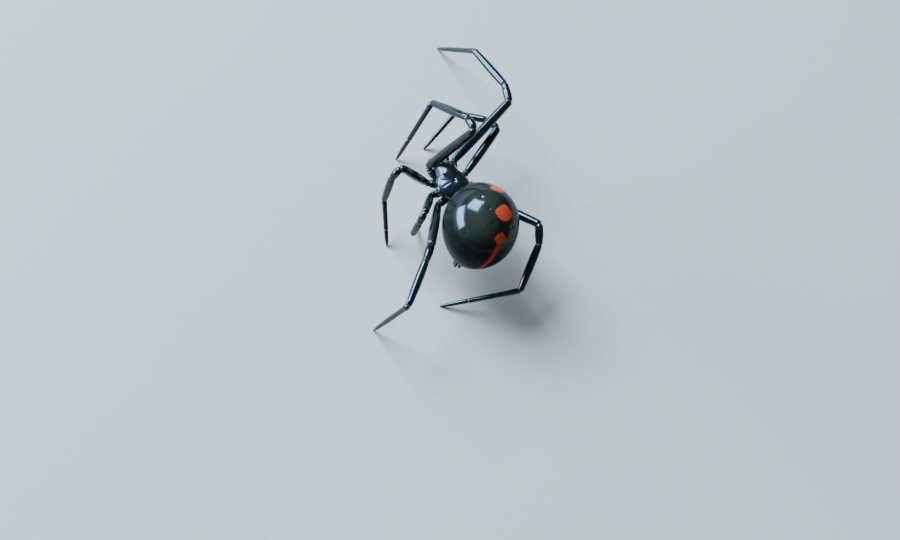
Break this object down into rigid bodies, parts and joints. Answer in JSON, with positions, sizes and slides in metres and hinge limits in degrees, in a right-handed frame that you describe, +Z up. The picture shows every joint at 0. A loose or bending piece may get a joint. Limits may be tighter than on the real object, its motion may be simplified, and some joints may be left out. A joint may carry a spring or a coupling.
{
  "type": "black widow spider",
  "caption": "Life-size adult female black widow spider standing still: glossy round black abdomen with red spots, small head and long thin bent legs.",
  "frame": {"origin": "centre of the bounding box's base, on the floor under the spider", "axes": "+Z up, head towards -Y, the animal's left towards +X"},
  "size_m": [0.0156, 0.0234, 0.009],
  "materials": {
    "black_shell": "polished black chitin with sparse short hairs",
    "abdomen_skin": "tight glossy black skin with red spots and a faint olive sheen",
    "dull_shell": "duller dark brown-black skin",
    "eye_lens": "clear dark lens"
  },
  "bodies": {
    "root": {"abdomen": "abdomen_skin", "cephalothorax": "black_shell", "chelicera_left": "black_shell", "chelicera_right": "black_shell", "eye_front_lateral_left": "eye_lens", "eye_front_lateral_right": "eye_lens", "eye_front_median_left": "eye_lens", "eye_front_median_right": "eye_lens", "eye_rear_lateral_left": "eye_lens", "eye_rear_lateral_right": "eye_lens", "eye_rear_median_left": "eye_lens", "eye_rear_median_right": "eye_lens", "leg1_left_coxa": "black_shell", "leg1_left_femur": "black_shell", "leg1_left_foot": "black_shell", "leg1_left_tibia": "black_shell", "leg1_right_coxa": "black_shell", "leg1_right_femur": "black_shell", "leg1_right_foot": "black_shell", "leg1_right_tibia": "black_shell", "leg2_left_coxa": "black_shell", "leg2_left_femur": "black_shell", "leg2_left_foot": "black_shell", "leg2_left_tibia": "black_shell", "leg2_right_coxa": "black_shell", "leg2_right_femur": "black_shell", "leg2_right_foot": "black_shell", "leg2_right_tibia": "black_shell", "leg3_left_coxa": "black_shell", "leg3_left_femur": "black_shell", "leg3_left_foot": "black_shell", "leg3_left_tibia": "black_shell", "leg3_right_coxa": "black_shell", "leg3_right_femur": "black_shell", "leg3_right_foot": "black_shell", "leg3_right_tibia": "black_shell", "leg4_left_coxa": "black_shell", "leg4_left_femur": "black_shell", "leg4_left_foot": "black_shell", "leg4_left_tibia": "black_shell", "leg4_right_coxa": "black_shell", "leg4_right_femur": "black_shell", "leg4_right_foot": "black_shell", "leg4_right_tibia": "black_shell", "palp_left": "black_shell", "palp_right": "black_shell", "pedicel": "dull_shell", "spinnerets": "dull_shell"}
  },
  "joints": []
}
